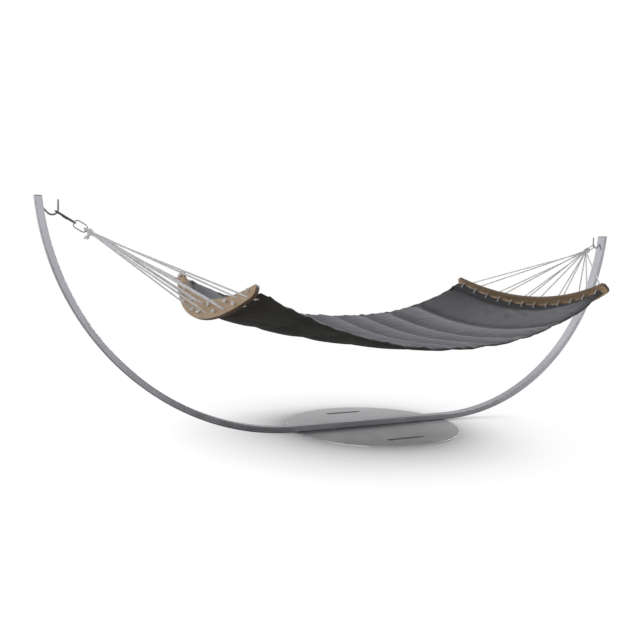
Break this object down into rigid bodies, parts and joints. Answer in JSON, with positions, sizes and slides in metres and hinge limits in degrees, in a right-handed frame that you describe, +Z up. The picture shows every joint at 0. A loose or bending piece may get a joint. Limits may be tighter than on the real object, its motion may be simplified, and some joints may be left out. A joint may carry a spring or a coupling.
{
  "type": "hammock on stand",
  "caption": "Quilted hammock with curved wooden spreader boards and rope fans, hung from hooks on a bent rectangular-tube steel stand with a round floor plate.",
  "frame": {"origin": "centre of the floor plate's underside, on the floor", "axes": "+Z up, +X along the hammock towards the end that hangs from one ring, +Y across it"},
  "size_m": [3.3858, 1.2393, 1.1],
  "materials": {
    "plate_steel": "satin",
    "tube_steel": "brushed",
    "fastener_steel": "satin",
    "hook_steel": "satin",
    "link_steel": "worn",
    "eyelet_steel": "pressed",
    "cap_plastic": "matte",
    "plywood": "oiled",
    "rope_fibre": "twisted",
    "quilt_cloth": "woven"
  },
  "bodies": {
    "stand": {"base_plate": "plate_steel", "centre_rail": "tube_steel", "plate_screws": "fastener_steel", "weld_nuts": "fastener_steel", "arm_bolts": "fastener_steel", "left_arm": "tube_steel", "left_spigot": "tube_steel", "left_end_cap": "cap_plastic", "left_hook": "hook_steel", "right_arm": "tube_steel", "right_spigot": "tube_steel", "right_end_cap": "cap_plastic", "right_hook": "hook_steel"},
    "hammock": {"quick_link": "link_steel", "quilted_panel_1": "quilt_cloth", "quilted_panel_2": "quilt_cloth", "quilted_panel_3": "quilt_cloth", "quilted_panel_4": "quilt_cloth", "quilted_panel_5": "quilt_cloth", "quilted_panel_6": "quilt_cloth", "quilted_panel_7": "quilt_cloth", "quilted_panel_8": "quilt_cloth", "quilted_panel_9": "quilt_cloth", "left_ring": "link_steel", "left_clew": "rope_fibre", "left_board": "plywood", "left_hem": "quilt_cloth", "left_eyelets": "eyelet_steel", "right_ring": "link_steel", "right_clew": "rope_fibre", "right_board": "plywood", "right_hem": "quilt_cloth", "right_eyelets": "eyelet_steel", "left_rope_1": "rope_fibre", "left_rope_2": "rope_fibre", "left_rope_3": "rope_fibre", "left_rope_4": "rope_fibre", "left_rope_5": "rope_fibre", "left_rope_6": "rope_fibre", "left_rope_7": "rope_fibre", "left_rope_8": "rope_fibre", "left_rope_9": "rope_fibre", "left_rope_10": "rope_fibre", "left_rope_11": "rope_fibre", "left_rope_12": "rope_fibre", "right_rope_1": "rope_fibre", "right_rope_2": "rope_fibre", "right_rope_3": "rope_fibre", "right_rope_4": "rope_fibre", "right_rope_5": "rope_fibre", "right_rope_6": "rope_fibre", "right_rope_7": "rope_fibre", "right_rope_8": "rope_fibre", "right_rope_9": "rope_fibre", "right_rope_10": "rope_fibre", "right_rope_11": "rope_fibre", "right_rope_12": "rope_fibre"},
    "quick_link_sleeve": {"quick_link_sleeve": "link_steel"}
  },
  "joints": [
    {"name": "hammock_swing", "type": "hinge", "parent": "stand", "child": "hammock", "pos_m": [0, 0, 1.0365], "axis": [1, 0, 0], "range_deg": [-35, 35]},
    {"name": "sleeve_travel", "type": "slide", "parent": "hammock", "child": "quick_link_sleeve", "axis": [0.866, 0, -0.5], "range_m": [0, 0.017]}
  ]
}
